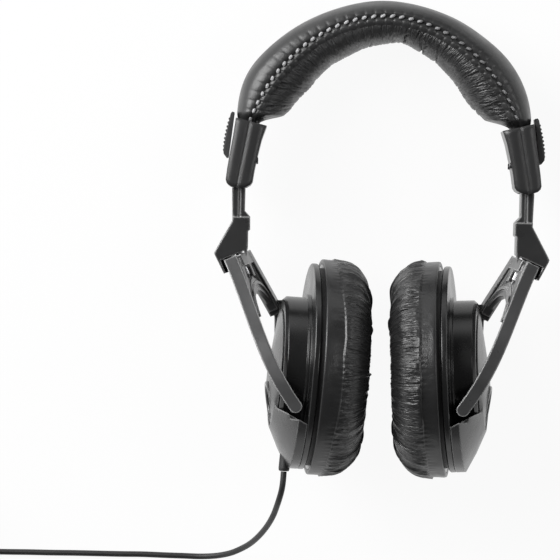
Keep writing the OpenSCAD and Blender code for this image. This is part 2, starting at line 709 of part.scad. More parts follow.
// 3.5 mm stereo plug lying beside the coil
plug_back = [-216, -95.6, 4];
plug_grip_len = 22;
plug_r = 1.75;
module in_plug() {
    translate(plug_back) rotate([-90, 0, 0]) children();
}
module plug_grip() {
    color(satin_black) in_plug() rotate_extrude() polygon([
        [0, 0], [2.1, 0], [2.5, 5], [3.6, 8], [3.9, 9], [3.9, plug_grip_len - 1],
        [3.4, plug_grip_len], [0, plug_grip_len]]);
}
module plug_contacts() {
    color([0.8, 0.72, 0.45]) in_plug() translate([0, 0, plug_grip_len]) rotate_extrude() polygon([
        [0, 0], [2.8, 0], [2.8, 0.8], [plug_r, 0.8], [plug_r, 11.3], [1.2, 11.9], [1.65, 12.9], [0.6, 14.4], [0, 14.4]]);
}

band_spring();
spring_rivets();
top_cover();
head_pad();
on_side(-1) sleeve_outer();  // left_sleeve_outer
on_side(-1) sleeve_inner();  // left_sleeve_inner
on_side(-1) grip_cover();  // left_grip_cover
on_side(-1) sleeve_screws();  // left_sleeve_screws
on_side(-1) detent_spring();  // left_detent_spring
on_side(-1) slider_arm();  // left_slider_arm
on_side(-1) swivel_pin();  // left_swivel_pin
on_side(-1) fork();  // left_fork
on_side(-1) pivot_pins();  // left_pivot_pins
on_side(-1) cup_housing();  // left_cup_housing
on_side(-1) cup_cover(true);  // left_cup_cover
on_side(-1) port_ring();  // left_port_ring
on_side(-1) port_disc();  // left_port_disc
on_side(-1) baffle();  // left_baffle
on_side(-1) driver_frame();  // left_driver_frame
on_side(-1) magnet();  // left_magnet
on_side(-1) diaphragm();  // left_diaphragm
on_side(-1) damping_felt();  // left_damping_felt
on_side(-1) cover_screws();  // left_cover_screws
on_side(-1) pad_plate();  // left_pad_plate
on_side(-1) pad_cloth();  // left_pad_cloth
on_side(-1) ear_pad();  // left_ear_pad
on_side(1) sleeve_outer();  // right_sleeve_outer
on_side(1) sleeve_inner();  // right_sleeve_inner
on_side(1) grip_cover();  // right_grip_cover
on_side(1) sleeve_screws();  // right_sleeve_screws
on_side(1) detent_spring();  // right_detent_spring
on_side(1) slider_arm();  // right_slider_arm
on_side(1) swivel_pin();  // right_swivel_pin
on_side(1) fork();  // right_fork
on_side(1) pivot_pins();  // right_pivot_pins
on_side(1) cup_housing();  // right_cup_housing
on_side(1) cup_cover(false);  // right_cup_cover
on_side(1) port_ring();  // right_port_ring
on_side(1) port_disc();  // right_port_disc
on_side(1) baffle();  // right_baffle
on_side(1) driver_frame();  // right_driver_frame
on_side(1) magnet();  // right_magnet
on_side(1) diaphragm();  // right_diaphragm
on_side(1) damping_felt();  // right_damping_felt
on_side(1) cover_screws();  // right_cover_screws
on_side(1) pad_plate();  // right_pad_plate
on_side(1) pad_cloth();  // right_pad_cloth
on_side(1) ear_pad();  // right_ear_pad
on_side(-1) strain_relief();
cord();
cord_coil();
cord_tie();
plug_grip();
plug_contacts();
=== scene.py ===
"""Dresses a pair of over-ear headphones that lie on a pale floor.

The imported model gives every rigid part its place. This script adds the sewn headband, the two ear
pads, the turned parts of the cups, the stitches and the cord, and gives every part its finish.
Lengths inside the functions are millimetres in the upright frame of the headphones, whose origin is
the middle between the ear cups: x to the right, y to the crown, z to the near side.
"""
import json
import math

import bpy
import numpy as np
from mathutils import Matrix, Vector


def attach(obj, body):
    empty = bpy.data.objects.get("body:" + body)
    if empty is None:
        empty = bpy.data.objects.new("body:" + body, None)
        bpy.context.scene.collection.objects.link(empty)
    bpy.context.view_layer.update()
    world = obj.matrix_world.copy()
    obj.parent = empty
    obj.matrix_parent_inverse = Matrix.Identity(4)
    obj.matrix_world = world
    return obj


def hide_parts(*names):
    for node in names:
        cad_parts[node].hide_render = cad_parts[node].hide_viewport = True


bl_info = {
    "name": "Over-ear headphones",
    "version": (1, 0, 0),
    "blender": (4, 5, 0),
    "location": "3D View > Sidebar > Headphones",
    "description": "Makes the soft goods, cups, cord and finishes of over-ear headphones",
    "category": "Add Mesh",
}

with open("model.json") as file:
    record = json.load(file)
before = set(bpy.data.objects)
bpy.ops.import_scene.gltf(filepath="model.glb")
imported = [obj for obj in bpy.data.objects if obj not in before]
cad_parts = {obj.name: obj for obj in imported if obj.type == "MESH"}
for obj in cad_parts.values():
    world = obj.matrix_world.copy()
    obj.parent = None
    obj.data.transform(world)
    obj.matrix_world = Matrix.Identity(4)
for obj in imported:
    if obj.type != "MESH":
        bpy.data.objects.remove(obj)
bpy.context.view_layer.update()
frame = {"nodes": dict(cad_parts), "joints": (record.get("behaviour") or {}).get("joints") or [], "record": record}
JOINTS = {joint["name"]: joint for joint in frame["joints"]}
SIDES = {"left": -1, "right": 1}

# ---------- sizes shared by several pieces, in millimetres and degrees ----------
CUP_X = 32.3
CUP_ROLL = 2.9
CUP_YAW = 5.0
PIVOT = (5.45, -17.2, 0.0)
BAND_CENTRE = 105.0
PLATE_X = -6.2
HOUSING_R = 29.5
HOUSING_H = 11.2
FLANGE_R = 44.4
EAR_PAD_R = 46.0
CORD_D = 2.6
# Size of the table that smooth noise is read from
LATTICE = 257


# ---------- placing ----------
def turned(points, axis, degrees):
    """Points turned about x (0), y (1) or z (2) through the origin by the right-hand rule."""
    c, s = math.cos(math.radians(degrees)), math.sin(math.radians(degrees))
    a, b = [(1, 2), (2, 0), (0, 1)][axis]
    out = np.array(points, float)
    out[..., a] = c * points[..., a] - s * points[..., b]
    out[..., b] = s * points[..., a] + c * points[..., b]
    return out


def from_cup(points, side=1):
    """Cup frame to upright frame: rolled, yawed, moved out to the cup and mirrored for the left."""
    points = np.asarray(points, float)
    placed = turned(turned(points, 2, CUP_ROLL), 1, -CUP_YAW) + [CUP_X, 0, 0]
    return placed * [side, 1, 1]


# The slide's axis leans with the headphones, and the tilt's pin gives their place.
SLIDE = JOINTS["right_slide"]["axis"]
LYING = math.degrees(math.atan2(SLIDE[2], -SLIDE[1]))
PIN_PLACE = np.array(JOINTS["right_tilt"]["pos_m"]) * 1000
ORIGIN = PIN_PLACE - turned(from_cup(PIVOT), 0, -LYING)


def laid(points):
    """Upright frame in millimetres to the row frame in metres: tipped back and set on the floor."""
    return (turned(np.asarray(points, float), 0, -LYING) + ORIGIN) / 1000


def pressed(points):
    """Soft goods pressed flat by the floor: heights below about a millimetre ease to above it."""
    give, far = 0.0004, 40
    points = np.array(points)
    height = np.clip(points[..., 2] / give, -far, far)
    points[..., 2] = np.where(height < far, give * np.log1p(np.exp(height)), points[..., 2])
    return points


# ---------- curves and noise ----------
def ease(t):
    """Cubic step from 0 to 1."""
    t = np.clip(t, 0, 1)
    return t * t * (3 - 2 * t)


def through(controls, steps):
    """Smooth curve through the control points on the second-last axis, with steps points a span.

    Each span is a cubic whose end slopes are half the difference of the neighbouring points.
    """
    c = np.asarray(controls, float)
    before = np.concatenate([2 * c[..., :1, :] - c[..., 1:2, :], c[..., :-2, :]], -2)
    after = np.concatenate([c[..., 2:, :], 2 * c[..., -1:, :] - c[..., -2:-1, :]], -2)
    p, q = c[..., :-1, None, :], c[..., 1:, None, :]
    m, n = (q - before[..., None, :]) / 2, (after[..., None, :] - p) / 2
    t = (np.arange(steps) / steps)[:, None]
    curve = (2 * t**3 - 3 * t**2 + 1) * p + (t**3 - 2 * t**2 + t) * m
    curve = curve + (3 * t**2 - 2 * t**3) * q + (t**3 - t**2) * n
    curve = curve.reshape(*c.shape[:-2], -1, c.shape[-1])
    return np.concatenate([curve, c[..., -1:, :]], -2)


def soft_noise(u, v, seed, period=None):
    """Smooth values from -1 to 1 on a lattice of spacing 1; period makes u repeat."""
    table = np.random.RandomState(seed).uniform(-1, 1, (LATTICE, LATTICE))
    i, j = np.floor(u).astype(int), np.floor(v).astype(int)
    a, b = ease(u - i), ease(v - j)
    size = LATTICE if period is None else period
    left, right = i % size, (i + 1) % size
    low, high = j % LATTICE, (j + 1) % LATTICE
    bottom = table[left, low] * (1 - a) + table[right, low] * a
    top = table[left, high] * (1 - a) + table[right, high] * a
    return bottom * (1 - b) + top * b


def creases(u, v, seed, period=None, width=0.5):
    """1 along wandering lines and 0 between them: sharp valleys where smooth noise crosses zero."""
    return np.maximum(0, 1 - np.abs(soft_noise(u, v, seed, period)) / width) ** 1.6


# ---------- meshes ----------
def grid_faces(rows, columns, wrap_rows=False, wrap_columns=False, first=0):
    """Quads of a grid of points, with the grid place of every corner."""
    i, j = np.meshgrid(np.arange(rows if wrap_rows else rows - 1),
                       np.arange(columns if wrap_columns else columns - 1), indexing="ij")
    corners = [(i, j), (i, j + 1), (i + 1, j + 1), (i + 1, j)]
    faces = np.stack([first + (a % rows) * columns + b % columns for a, b in corners], -1)
    places = np.stack([np.stack([a, b], -1) for a, b in corners], -2)
    return faces.reshape(-1, 4), places.reshape(-1, 4, 2).astype(float)


def put_mesh(name, points, groups, uvs=None, sharp=None):
    """Mesh object from points in metres and groups of equal-sided faces, with UVs if given."""
    mesh = bpy.data.meshes.new(name)
    points = np.asarray(points, np.float32).reshape(-1, 3)
    corners = np.concatenate([g.ravel() for g in groups]).astype(np.int32)
    sizes = np.concatenate([np.full(len(g), g.shape[1]) for g in groups]).astype(np.int32)
    starts = np.concatenate([[0], np.cumsum(sizes)[:-1]]).astype(np.int32)
    mesh.vertices.add(len(points))
    mesh.vertices.foreach_set("co", points.ravel())
    mesh.loops.add(len(corners))
    mesh.loops.foreach_set("vertex_index", corners)
    mesh.polygons.add(len(sizes))
    mesh.polygons.foreach_set("loop_start", starts)
    mesh.polygons.foreach_set("loop_total", sizes)
    if uvs is not None:
        layer = mesh.uv_layers.new(name="Length")
        layer.data.foreach_set("uv", np.asarray(uvs, np.float32).ravel())
    mesh.update(calc_edges=True)
    mesh.validate()
    mesh.polygons.foreach_set("use_smooth", np.ones(len(mesh.polygons), bool))
    if sharp:
        mesh.set_sharp_from_angle(angle=math.radians(sharp))
    piece = bpy.data.objects.new(name, mesh)
    bpy.context.scene.collection.objects.link(piece)
    return piece


def surface(name, points, wrap_rows=False, wrap_columns=False, capped=False, scale=(1, 1),
            flip=False, sharp=None, skin=None):
    """Object from a grid of points in metres. UVs are the grid's skin, or its steps times scale."""
    rows, columns = points.shape[:2]
    faces, places = grid_faces(rows, columns, wrap_rows, wrap_columns)
    uv = (places * scale).reshape(-1, 2)
    if skin is not None:
        uv = skin.reshape(-1, 2)[faces.ravel()]
    groups, flat = [faces], points.reshape(-1, 3)
    if capped:
        ends = np.array([points[0].mean(0), points[-1].mean(0)])
        start = np.arange(columns)
        nxt = (start + 1) % columns
        low = np.full(columns, len(flat))
        high = low + 1
        last = (rows - 1) * columns
        groups += [np.stack([low, nxt, start], -1), np.stack([high, last + start, last + nxt], -1)]
        uv = np.concatenate([uv, np.zeros((6 * columns, 2))])
        flat = np.concatenate([flat, ends])
    if flip:
        groups = [g[:, ::-1] for g in groups]
    return put_mesh(name, flat, groups, uv, sharp)


def normals(points, wrap_rows, wrap_columns):
    """Unit normals of a grid, from the cross product of its differences along both directions."""
    def slope(axis, wrap):
        if wrap:
            return np.roll(points, -1, axis) - np.roll(points, 1, axis)
        return np.gradient(points, axis=axis)
    n = np.cross(slope(1, wrap_columns), slope(0, wrap_rows))
    return n / np.maximum(np.linalg.norm(n, axis=-1, keepdims=True), 1e-9)


def finish_piece(piece, body, material, nodes=()):
    """Gives a piece its material, the body that it rides on and what it stands for."""
    piece.data.materials.append(material)
    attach(piece, body)
    if nodes:
        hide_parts(*nodes)
    return piece


def about_cup_axis(profile, count):
    """Profile of (radius, x) points turned about the cup's axis, and the angles it stands at."""
    a = np.linspace(0, 2 * math.pi, count, endpoint=False)[None]
    r, x = profile[:, :1], profile[:, 1:]
    return np.stack(np.broadcast_arrays(x + 0 * a, r * np.cos(a), r * np.sin(a)), -1), a


def lathe(name, profile, side, count=180):
    """Closed solid turned about the cup's axis from a profile of (radius, x) points."""
    points, _ = about_cup_axis(profile, count)
    return surface(name, laid(from_cup(points, side)), True, True, flip=side < 0, sharp=40)


def rounded(profile, radius, steps=4):
    """Profile with every corner replaced by a short arc that leaves and meets both edges."""
    p = np.asarray(profile, float)
    before, after = np.roll(p, 1, 0), np.roll(p, -1, 0)
    to_before, to_after = before - p, after - p
    la, lb = (np.linalg.norm(v, axis=1, keepdims=True) for v in (to_before, to_after))
    cut = np.minimum(radius, 0.45 * np.minimum(la, lb))
    a, b = p + to_before / la * cut, p + to_after / lb * cut
    t = np.linspace(0, 1, steps + 1)[None, :, None]
    arcs = (1 - t) ** 2 * a[:, None] + 2 * t * (1 - t) * p[:, None] + t**2 * b[:, None]
    return arcs.reshape(-1, p.shape[1])


# ---------- materials ----------
class Shader:
    """Small helper that builds one node material."""

    def __init__(self, name, colour, roughness, **sockets):
        self.material = bpy.data.materials.new(name)
        self.material.use_nodes = True
        tree = self.material.node_tree
        self.nodes, self.links = tree.nodes, tree.links
        self.surface = self.nodes["Principled BSDF"]
        self.surface.inputs["Base Color"].default_value = (*colour, 1)
        self.surface.inputs["Roughness"].default_value = roughness
        for key, value in sockets.items():
            self.surface.inputs[key.replace("_", " ")].default_value = value
        self.place = self.nodes.new("ShaderNodeTexCoord").outputs["Object"]
        self.bump = None

    def add(self, kind, link=(), **values):
        """New node with its plain inputs set and its linked inputs joined."""
        node = self.nodes.new(kind)
        for key, value in values.items():
            if hasattr(node, key):
                setattr(node, key, value)
            else:
                node.inputs[key.replace("_", " ")].default_value = value
        for socket, output in dict(link).items():
            self.links.new(output, node.inputs[socket])
        return node

    def noise(self, scale, detail=2.0, rough=0.5, vector=None):
        node = self.add("ShaderNodeTexNoise", {"Vector": vector or self.place}, Scale=scale,
                        Detail=detail, Roughness=rough)
        return node.outputs["Fac"]

    def cells(self, scale):
        node = self.add("ShaderNodeTexVoronoi", {"Vector": self.place}, feature="F1", Scale=scale)
        return node.outputs["Distance"]

    def spread(self, value, low, high, start=0.3, end=0.7):
        """Value from start to end mapped to the range from low to high."""
        node = self.add("ShaderNodeMapRange", {"Value": value})
        for key, bound in (("From Min", start), ("From Max", end), ("To Min", low),
                           ("To Max", high)):
            node.inputs[key].default_value = bound
        return node.outputs["Result"]

    def tint(self, value, dark, light):
        """Colour between dark and light by value."""
        node = self.add("ShaderNodeMix", {"Factor": value}, data_type="RGBA")
        node.inputs[6].default_value, node.inputs[7].default_value = (*dark, 1), (*light, 1)
        self.links.new(node.outputs[2], self.surface.inputs["Base Color"])

    def length_uv(self):
        """The UV map of the pieces made here."""
        return self.add("ShaderNodeUVMap", uv_map="Length").outputs["UV"]

    def combine(self, operation, first, second):
        """Math on an output and on a number or another output."""
        linked = {0: first} if isinstance(second, (int, float)) else {0: first, 1: second}
        node = self.add("ShaderNodeMath", linked, operation=operation)
        if len(linked) == 1:
            node.inputs[1].default_value = second
        return node.outputs["Value"]

    def round_off(self, radius):
        """Turns the normal near sharp edges as though they had that radius in millimetres."""
        self.bump = self.add("ShaderNodeBevel", samples=8, Radius=radius / 1000).outputs["Normal"]
        self.links.new(self.bump, self.surface.inputs["Normal"])

    def paint_edge_highlight(self, colour, width):
        """Painted highlight: brightens the base colour within about width millimetres of every sharp edge."""
        soft = self.add("ShaderNodeBevel", samples=6, Radius=width / 1000)
        hard = self.add("ShaderNodeNewGeometry")
        same = self.add("ShaderNodeVectorMath", operation="DOT_PRODUCT",
                        link={0: soft.outputs["Normal"], 1: hard.outputs["Normal"]})
        self.blend_in(self.spread(same.outputs["Value"], 1, 0, 0.8, 0.98), colour)

    def blend_in(self, share, colour):
        """Turns that share of the present base colour into the given one."""
        link = self.surface.inputs["Base Color"].links[0]
        mix = self.add("ShaderNodeMix", {"Factor": share}, data_type="RGBA")
        self.links.new(link.from_socket, mix.inputs[6])
        mix.inputs[7].default_value = (*colour, 1)
        self.links.new(mix.outputs[2], self.surface.inputs["Base Color"])

    def matt(self, value, low, high):
        self.links.new(self.spread(value, low, high), self.surface.inputs["Roughness"])

    def raise_by(self, height, distance, strength=1.0):
        """Adds a bump of that height field in millimetres on top of earlier ones."""
        node = self.add("ShaderNodeBump", {"Height": height}, Strength=strength,
                        Distance=distance / 1000)
        if self.bump:
            self.links.new(self.bump, node.inputs["Normal"])
        self.bump = node.outputs["Normal"]
        self.links.new(self.bump, self.surface.inputs["Normal"])


def shade(colour, factor):
    return tuple(channel * factor for channel in colour)


def leather(name, colour, roughness, grain_mm, wear=1.25, gathers=None):
    """Leatherette: pebbled cells with fine pores, a little unevenness of tone and gloss.

    gathers gives the spacing in millimetres of fine wrinkles along both directions of the skin.
    They start at the seam, where the skin's first direction is 0.
    """
    s = Shader(name, colour, roughness, Specular_IOR_Level=0.5)
    if gathers:
        uv = s.length_uv()
        past = s.add("ShaderNodeSeparateXYZ", {0: uv}).outputs["X"]
        crown = s.spread(past, 0, 1, 0, 3)
        for size, depth in ((1.0, 0.26), (0.55, 0.13)):
            skin = s.add("ShaderNodeMapping", {"Vector": uv},
                         Scale=(1 / (gathers[0] * size), 1 / (gathers[1] * size), 1))
            ridge = s.combine("SUBTRACT", s.noise(1, 1, vector=skin.outputs["Vector"]), 0.5)
            fold = s.combine("ABSOLUTE", ridge, 0.5)
            height = s.combine("MULTIPLY", s.spread(fold, 0, 1, 0, 0.16), crown)
            s.raise_by(height, depth, 0.9)
    cells = s.cells(1000 / grain_mm)
    s.raise_by(s.spread(cells, 0, 1, 0.0, 0.6), 0.05, 0.55)
    s.raise_by(s.noise(2600, 3), 0.03, 0.4)
    uneven = s.noise(60, 3)
    s.tint(s.spread(uneven, 0, 1), shade(colour, 0.8), shade(colour, wear))
    s.matt(s.noise(140, 4), roughness - 0.06, roughness + 0.08)
    return s.material


def plastic(name, colour, roughness, grain, scale=2200, coat=0.0, edge=None, soft=0.0,
            sink=0.08, uneven=(0.92, 1.1)):
    """Moulded plastic: a fine spark-eroded grain, faint handling marks and slight change of tone.

    edge is the tone of a painted highlight along the sharp edges, soft is the radius that the
    corners are shaded with, sink is the strength of the slow waves that cooling leaves in its flats
    and uneven is the range of its tone.
    """
    s = Shader(name, colour, roughness, Coat_Weight=coat, Coat_Roughness=0.12)
    if soft:
        s.round_off(soft)
    s.raise_by(s.noise(scale, 2), 0.02, grain)
    s.raise_by(s.noise(24, 1), 1.0, sink)
    dark, light = uneven
    s.tint(s.spread(s.noise(40, 3), 0, 1), shade(colour, dark), shade(colour, light))
    # Painted highlight: the sharp edges lightened to the tone edge
    if edge:
        s.paint_edge_highlight((edge, edge, edge), 1.1)
    s.matt(s.noise(55, 4, 0.65), roughness - 0.05, roughness + 0.07)
    return s.material


def metal(name, colour, roughness):
    """Bare metal with fine drawn lines."""
    s = Shader(name, colour, roughness, Metallic=1.0)
    stretched = s.add("ShaderNodeMapping", {"Vector": s.place}, Scale=(1, 1, 14))
    s.raise_by(s.noise(900, 2, vector=stretched.outputs["Vector"]), 0.01, 0.3)
    s.matt(s.noise(300, 3), roughness - 0.05, roughness + 0.08)
    return s.material


def woven(name, colour, pitch_mm):
    """Cloth with crossing threads."""
    s = Shader(name, colour, 0.85, Sheen_Weight=0.3, Sheen_Roughness=0.5)
    warp, weft = (s.add("ShaderNodeTexWave", {"Vector": s.place}, bands_direction=direction,
                        Scale=314 / pitch_mm / 10).outputs["Fac"] for direction in ("X", "Y"))
    both = s.combine("MULTIPLY", warp, weft)
    s.raise_by(both, 0.06, 0.8)
    # Painted shade in the hollows between the threads and lighter tone on the raised crossings
    s.tint(both, shade(colour, 0.5), shade(colour, 1.4))
    return s.material


def thread(name, colour):
    """Twisted sewing thread: slanted plies along each stitch, with painted shade over the stitches on the right.
    """
    s = Shader(name, colour, 0.38, Sheen_Weight=0.2)
    ply = s.add("ShaderNodeTexWave", {"Vector": s.length_uv()}, bands_direction="DIAGONAL",
                Scale=1.2, Distortion=0.3)
    s.raise_by(ply.outputs["Fac"], 0.08, 0.7)
    # Painted shade in the grooves between the plies and lighter tone on their crowns
    s.tint(ply.outputs["Fac"], shade(colour, 0.6), shade(colour, 1.2))
    # Painted shade: the stitches right of the middle darkened, as though the light came from the left
    across = s.add("ShaderNodeSeparateXYZ", {0: s.place}).outputs["X"]
    s.blend_in(s.spread(across, 0, 1, -0.005, 0.03), shade(colour, 0.3))
    return s.material


def rubber(name, colour):
    """Soft cord jacket with a fine matt skin and faint rub marks."""
    s = Shader(name, colour, 0.5, Specular_IOR_Level=0.45)
    s.raise_by(s.noise(1800, 2), 0.015, 0.5)
    s.tint(s.spread(s.noise(70, 3), 0, 1), shade(colour, 0.85), shade(colour, 1.3))
    s.matt(s.noise(120, 3), 0.42, 0.58)
    return s.material


def grey(tone):
    """Grey with a trace of blue."""
    return tone, tone, tone * 1.02


def make_materials(look):
    """All finishes by the name of their slot, and a few finer ones."""
    ear_pad = leather("ear pad leatherette", grey(look.pad), 0.32, 0.7, gathers=(14, 1.5))
    head_pad = leather("head pad leatherette", grey(look.pad * 1.5), 0.36, 0.7, gathers=(1.7, 14))
    # edge sets the tone of the painted highlight along the sharp edges of these plastics
    satin = plastic("satin black plastic", grey(look.plastic), 0.26, 0.35, edge=0.6 * look.edge,
                    soft=0.8, sink=0.15)
    sleeve = plastic("sleeve plastic", grey(look.plastic * 1.2), 0.3, 0.35, soft=3.0, sink=0.1)
    arm = plastic("arm plastic", grey(look.plastic * 1.2), 0.28, 0.35, edge=look.edge, soft=1.4,
                  sink=0.25)
    fork = plastic("dark grey plastic", grey(look.fork), 0.3, 0.4, edge=1.4 * look.edge, soft=1.1,
                   sink=0.4, uneven=(0.6, 1.4))
    gloss = plastic("polished black plastic", grey(look.plastic * 1.6), 0.24, 0.1, coat=0.3)
    return {
        "band_leather": leather("band leatherette", grey(look.leather), 0.37, 0.9),
        "pad_leather": ear_pad,
        "head_pad_leather": head_pad,
        "satin_plastic": satin,
        "sleeve_plastic": sleeve,
        "cup_plastic": plastic("cup plastic", grey(look.plastic * 0.5), 0.24, 0.25, sink=0.05),
        "arm_plastic": arm,
        "fork_plastic": fork,
        "gloss_plastic": gloss,
        "grip_plastic": plastic("ribbed grip plastic", grey(look.grip), 0.42, 0.8, 1500),
        "inner_plastic": plastic("inner plastic", grey(0.008), 0.5, 0.6),
        "spring_steel": metal("spring steel", grey(0.6), 0.3),
        "screw_steel": metal("blackened steel", grey(0.12), 0.4),
        "magnet_steel": metal("plated steel", grey(0.7), 0.22),
        "film": plastic("driver film", (0.5, 0.47, 0.36), 0.3, 0.1),
        "felt": woven("pressed felt", (0.5, 0.48, 0.44), 0.4),
        "cloth": woven("acoustic cloth", grey(0.02), 0.5),
        "cord_rubber": rubber("cord jacket", grey(look.cord)),
        "tie_plastic": rubber("tie strap", grey(0.04)),
        "plug_gold": metal("gold plating", (0.83, 0.6, 0.22), 0.2),
        "thread": thread("sewing thread", grey(look.thread)),
    }


MATERIALS = {}


# ---------- headband ----------
# The band's sections stand round its centre, from the right end over the crown to the left end
BAND_ENDS = (-4.5, 184.5)
BAND_HALF_WIDTH, BAND_RISE = 63.3, 52
BAND_HALF_DEPTH = 19
SEAM_R, SEAM_SPREAD = 45.6, 11.9
HEAD_PAD_R, HEAD_PAD_SPREAD = 34.2, 15.5
PINCHED_R = 54
STITCH_PITCH = 4.0
# The sleeves' pocket in the cover's underside: half its depth and the radius of its roof
POCKET_D, POCKET_R = 11.2, 61.6
# Broad swells, each with its angle, its width and its height
COVER_SWELLS = ((92, 26, 0.9), (162, 13, 1.3), (42, 12, -0.7))
HEAD_PAD_SWELLS = ((79, 9, -1.3), (118, 15, 1.2), (166, 8, -1.2))
# Deep cuts of the head pad: share of its length, depth and lean
HEAD_PAD_CUTS = ((0.43, 1.5, 0.12), (0.395, 1.0, -0.15), (0.36, 0.9, 0.1), (0.47, 0.5, 0.1),
                 (0.545, 0.45, 0.1), (0.33, 0.6, -0.1))


def band_measures(a):
    """Radii of outer skin, seam and inner skin at the angle a, then half depth and pinch."""
    rad, off = np.radians(a), np.abs(90 - a)
    end = 90 - off
    outer = 1 / np.sqrt((np.cos(rad) / BAND_HALF_WIDTH) ** 2 + (np.sin(rad) / BAND_RISE) ** 2)
    seam = SEAM_R + SEAM_SPREAD * np.minimum(1, off / 90) ** 2.7
    inner = HEAD_PAD_R + HEAD_PAD_SPREAD * np.exp(-(end + 2) / 10)
    pinch = 1 - ease((end + 1.5) / 5)
    depth = BAND_HALF_DEPTH - 4.5 * pinch - 1.2 * (1 - ease(end / 30))
    return outer - 0.6 * pinch, seam, inner + (PINCHED_R - inner) * pinch, depth, pinch


def on_band(a, r, z):
    """Points at the angle a, the distance r from the band's centre and the depth z."""
    rad = np.radians(a)
    return np.stack(np.broadcast_arrays(r * np.cos(rad), BAND_CENTRE + r * np.sin(rad), z), -1)


def seam_length(a):
    """Length along the seam from the band's right end to each angle."""
    r = band_measures(a)[1]
    p = on_band(a, r, 0 * a)
    steps = np.linalg.norm(np.diff(p, axis=0), axis=1)
    return np.concatenate([[0], np.cumsum(steps)])


def swollen(level, a, swells):
    """Level raised by smooth bumps, each given by its angle, its width and its height."""
    for middle, width, height in swells:
        level = level + height * np.exp(-(((a - middle) / width) ** 2))
    return level


def joined(pairs):
    """Points of a section, one for each pair of columns (radius, depth), at every angle."""
    return np.stack([np.concatenate(pair, -1) for pair in pairs], 1)


def pucker(length):
    """1 at each needle hole and 0 between: a narrow bell that repeats with every stitch."""
    phase = (length / STITCH_PITCH + 0.5) % 1 - 0.5
    return np.exp(-((phase / 0.17) ** 2))


def cover_points(rows=560):
    """Leather cover: at each angle a section over the top from seam to seam, with a welt below."""
    a = np.linspace(*BAND_ENDS, rows)
    top, seam, _, b, pinch = (m[:, None] for m in band_measures(a))
    length = seam_length(a)[:, None]
    hole = pucker(length)
    free = 1 - pinch
    top = swollen(top, a[:, None], COVER_SWELLS)
    t = np.linspace(0, 1, 73)[None]
    z = b * np.cos(math.pi * t)
    swell = (1 - np.minimum(1, np.abs(z / b)) ** 2.4) ** (1 / 2.4)
    r = seam + 1.2 + (top - seam - 1.2) * swell
    near = np.exp(-((b - np.abs(z)) / 1.6) ** 1.4)
    wrinkle = soft_noise(length / 3.1, t * 24 + 3, 11) * np.exp(-(swell / 0.6) ** 4) * free
    fold = hole * np.exp(-((b - np.abs(z)) / 2.2)) * free
    r = r + 0.08 * wrinkle - 0.08 * hole * near - 0.03 * fold
    r = r + 0.3 * soft_noise(length / 21, t * 5, 5) * swell * free
    arch = np.stack(np.broadcast_arrays(r, z - 0.12 * hole * near * np.sign(z)), -1)
    bump = 1 - hole
    welt = through(joined([
        (seam + 0.2, b - 0.95 - 0.25 * hole),
        (seam - 0.7, b - 0.35 - 0.4 * hole),
        (seam - 1.7, b - 0.1 - 0.25 * hole * free),
        (seam - 2.8 * free - 0.15 * bump * free, b - 0.45 - 0.15 * hole),
        (seam - 3.5 * free - 0.3 * bump * free, b - 1.3),
        (seam - 2.6 * free, b - 2.3),
        (seam - 0.4, b - 3.2)]), 4)
    end = (90 - np.abs(90 - a))[:, None]
    bottom, zero = seam + 0.05, 0 * b
    roof = bottom + (POCKET_R - seam - 0.05) * (1 - ease((end - 9.4) / 3))
    under = joined([(bottom, zero + POCKET_D + 1), (roof, zero + POCKET_D), (roof, zero - POCKET_D),
                    (bottom, zero - POCKET_D - 1)])
    ring = np.concatenate([arch, welt * [1, -1], under[:, ::-1], welt[:, ::-1]], 1)
    return on_band(a[:, None], ring[..., 0], ring[..., 1])


def head_pad_points(rows=640):
    """Head pad: a full section below the seam, gathered into fine pleats that run across it.

    The pleats are valleys of two sizes, deepest by the seam and at both ends. A few deep cuts cross
    the pad right of its middle.
    """
    a = np.linspace(*BAND_ENDS, rows)
    _, seam, inner, b, pinch = (m[:, None] for m in band_measures(a))
    length = seam_length(a)[:, None]
    span = length[-1, 0]
    top = seam - 1.1
    edge_r = top - 1.9 * (1 - pinch)
    t = np.linspace(0, 1, 121)[None]
    z = (b - 0.9) * np.cos(math.pi * t)
    swell = (1 - np.minimum(1, np.abs(z / (b - 0.9))) ** 2.2) ** (1 / 2.2)
    off = (length / span - 0.5) * 2
    r = edge_r - (edge_r - inner) * swell
    ring = on_band(a[:, None], r, z)
    out = -normals(ring, False, False)
    across = np.minimum(t, 1 - t) * 52
    free = ease((90 - np.abs(90 - a[:, None]) - 1) / 6)
    edge, ends = np.exp(-across / 9), ease((np.abs(off) - 0.45) / 0.45)
    bend = length + (1.5 + 2.2 * ends) * np.sin(across / 16) * np.sign(off)
    wander = 0.4 * soft_noise(length / 9, across / 14, 31)
    deep = 0.25 + 0.75 * np.maximum(0.6 * edge, ends)
    pleats = 0.75 * creases(bend / 3.1 + wander, across / 30, 21, width=0.42) * deep
    fine = 0.3 * creases(bend / 1.4 + wander, across / 13, 22, width=0.6)
    pleats = pleats + fine * (0.5 + 0.5 * ends)
    pull = 0.1 * np.exp(-across / 1.4) * (0.5 + 0.5 * np.cos(2 * math.pi * length / STITCH_PITCH))
    cuts = 0
    for place, depth, lean in HEAD_PAD_CUTS:
        gap = length - place * span - lean * across + 0.5 * np.sin(across / 2.3)
        cuts = cuts + depth * np.exp(-((gap / 0.55) ** 2)) * ease((across - 5) / 8)
    full = 0.22 * soft_noise(length / 11, across / 14, 6)
    full = swollen(full, a[:, None], HEAD_PAD_SWELLS)
    amount = (full * swell - pleats - cuts - pull) * free * ease((0.5 - np.abs(t - 0.5)) / 0.012)
    ring = ring + out * amount[..., None]
    lid = joined([(top, -(b - 3)), (top, b - 3)])
    lid = on_band(a[:, None], lid[..., 0], lid[..., 1])
    return np.concatenate([ring, lid], 1)


